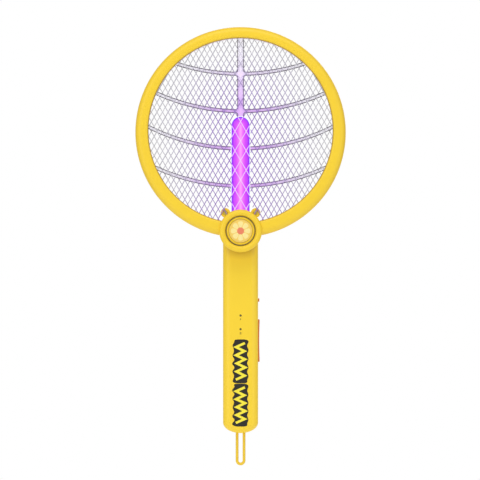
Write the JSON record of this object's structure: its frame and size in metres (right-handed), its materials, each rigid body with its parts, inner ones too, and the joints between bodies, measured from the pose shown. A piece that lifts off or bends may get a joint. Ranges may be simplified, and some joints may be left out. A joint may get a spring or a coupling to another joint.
{
  "type": "electric fly swatter",
  "caption": "Round three-layer mesh head with a lamp on a folding pivot, and a flat handle with a press button, a slide switch and a hanging loop.",
  "frame": {"origin": "middle of the handle's grip, on the handle's own axis", "axes": "+Z along the handle towards the mesh head, -Y the way the hub and the indicator lights face, +X towards the press button"},
  "size_m": [0.22, 0.0436, 0.4592],
  "materials": {
    "yellow_shell": "moulded, satin",
    "mesh_metal": "expanded mesh, plain",
    "clear_rib": "clear moulded",
    "lamp_tube": "violet, glowing",
    "orange_control": "moulded, satin",
    "cream_badge": "glossy",
    "screw_steel": "zinc plated",
    "board_green": "lacquered",
    "dark_plastic": "moulded",
    "battery_wrap": "shrink wrap",
    "capacitor_red": "dipped",
    "lens_clear": "clear",
    "loop_soft": "soft moulded"
  },
  "bodies": {
    "handle": {"handle_front_shell": "yellow_shell", "handle_rear_shell": "yellow_shell", "pivot_post": "screw_steel", "wave_washer": "screw_steel", "pivot_nut": "screw_steel", "battery_cell": "battery_wrap", "battery_contact_lower": "screw_steel", "battery_contact_upper": "screw_steel", "circuit_board": "board_green", "hv_transformer": "dark_plastic", "hv_capacitor_1": "capacitor_red", "hv_capacitor_2": "capacitor_red", "charge_port": "screw_steel", "indicator_lens_1": "lens_clear", "indicator_lens_2": "lens_clear", "button_spring_1": "screw_steel", "button_spring_2": "screw_steel", "micro_switch_body": "dark_plastic", "slide_switch_body": "dark_plastic", "loop_anchor": "loop_soft", "handle_screw_1": "screw_steel", "handle_screw_2": "screw_steel", "handle_screw_3": "screw_steel", "handle_screw_4": "screw_steel"},
    "head": {"front_ring_shell": "yellow_shell", "rear_ring_shell": "yellow_shell", "front_safety_grid": "mesh_metal", "high_voltage_grid": "mesh_metal", "rear_safety_grid": "mesh_metal", "front_spacer_frame": "clear_rib", "rear_spacer_frame": "clear_rib", "lamp_diffuser": "lamp_tube", "lamp_led_strip": "board_green", "lamp_holder": "yellow_shell", "lamp_holder_screw_1": "screw_steel", "lamp_holder_screw_2": "screw_steel", "hub_cap": "yellow_shell", "badge_disc": "cream_badge", "ring_screw_1": "screw_steel", "ring_screw_2": "screw_steel", "ring_screw_3": "screw_steel", "ring_screw_4": "screw_steel", "ring_screw_5": "screw_steel", "ring_screw_6": "screw_steel"},
    "button": {"zap_button": "orange_control", "switch_plunger": "orange_control"},
    "power_slide": {"power_slide_knob": "orange_control"},
    "loop": {"hang_loop": "loop_soft"}
  },
  "joints": [
    {"name": "head_fold", "type": "hinge", "parent": "handle", "child": "head", "pos_m": [0, -0.0206, 0.16], "axis": [0, 1, 0], "range_deg": [0, 180]},
    {"name": "zap_button_press", "type": "slide", "parent": "handle", "child": "button", "axis": [-1, 0, 0], "range_m": [0, 0.0013], "stiffness_N_per_m": 900, "springref_m": -0.001, "deforming": ["button_spring_1", "button_spring_2"]},
    {"name": "power_slide_move", "type": "slide", "parent": "handle", "child": "power_slide", "axis": [0, 0, -1], "range_m": [0, 0.004]},
    {"name": "hang_loop_flex", "type": "hinge", "parent": "handle", "child": "loop", "pos_m": [0, 0, -0.05355], "axis": [1, 0, 0], "range_deg": [-60, 60], "stiffness_Nm_per_rad": 0.004}
  ]
}
